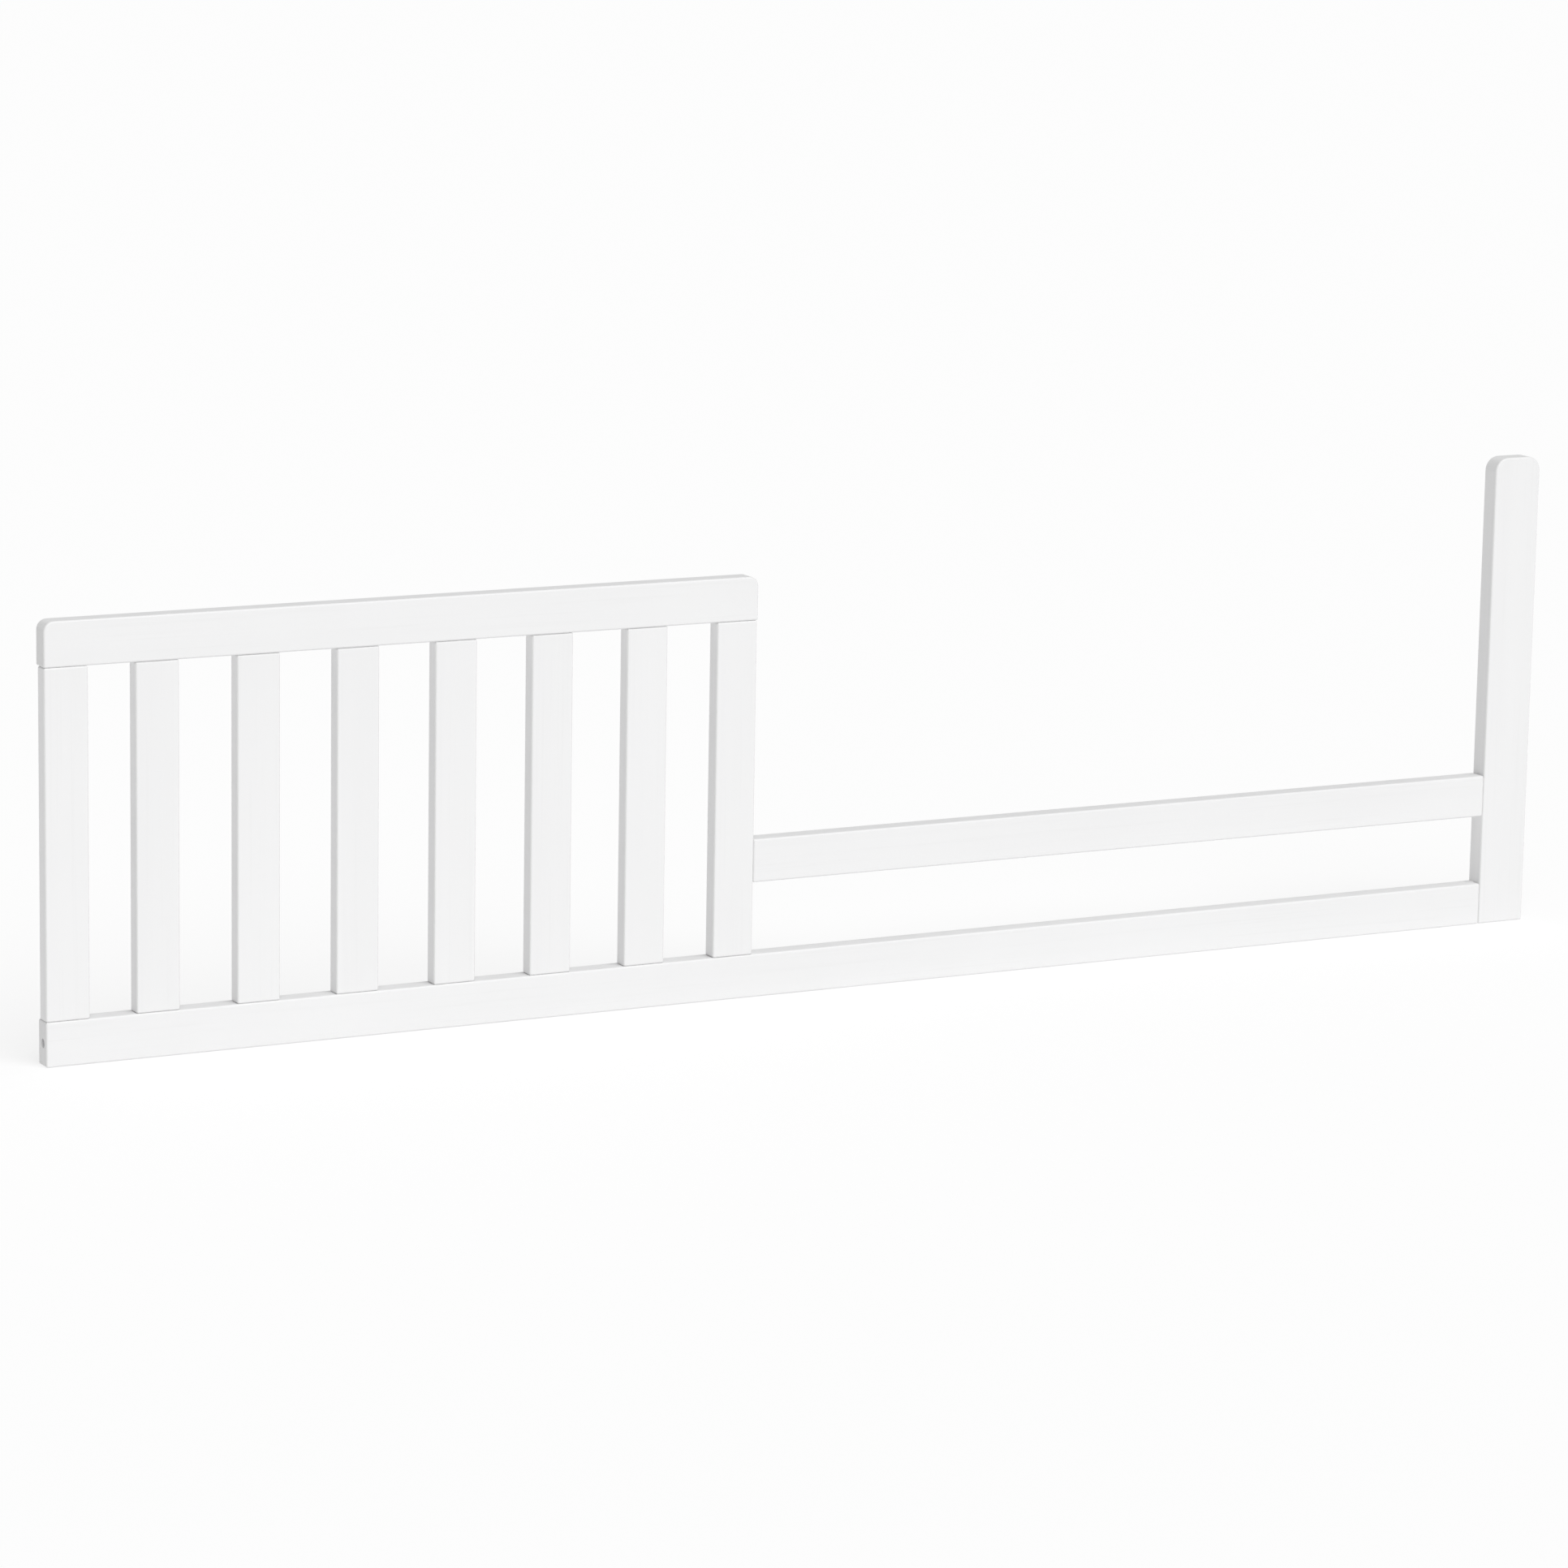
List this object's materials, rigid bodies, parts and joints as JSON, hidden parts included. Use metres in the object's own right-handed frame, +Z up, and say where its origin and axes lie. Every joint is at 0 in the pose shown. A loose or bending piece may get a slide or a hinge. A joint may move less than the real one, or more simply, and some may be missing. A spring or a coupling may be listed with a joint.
{
  "type": "toddler bed guard rail",
  "caption": "Flat painted-wood conversion rail for a toddler bed: slatted guard at one end, low entry rail and a tall end post at the other.",
  "frame": {"origin": "middle of the rail's underside, halfway along its length and through its thickness", "axes": "+X along the rail from the slatted guard to the end post, -Y the front face towards the room, +Z up"},
  "size_m": [1.34, 0.017, 0.4],
  "materials": {
    "painted_wood": "satin white paint on solid pine",
    "dowel_wood": "bare beech",
    "zinc_steel": "bright zinc plate"
  },
  "bodies": {
    "root": {"bottom_rail": "painted_wood", "guard_top_rail": "painted_wood", "left_stile": "painted_wood", "right_stile": "painted_wood", "slat_1": "painted_wood", "slat_2": "painted_wood", "slat_3": "painted_wood", "slat_4": "painted_wood", "slat_5": "painted_wood", "slat_6": "painted_wood", "mid_rail": "painted_wood", "end_post": "painted_wood", "left_stile_dowels": "dowel_wood", "right_stile_dowels": "dowel_wood", "mid_rail_dowels": "dowel_wood", "left_end_insert": "zinc_steel", "post_inserts": "zinc_steel", "lap_screws": "zinc_steel"}
  },
  "joints": []
}
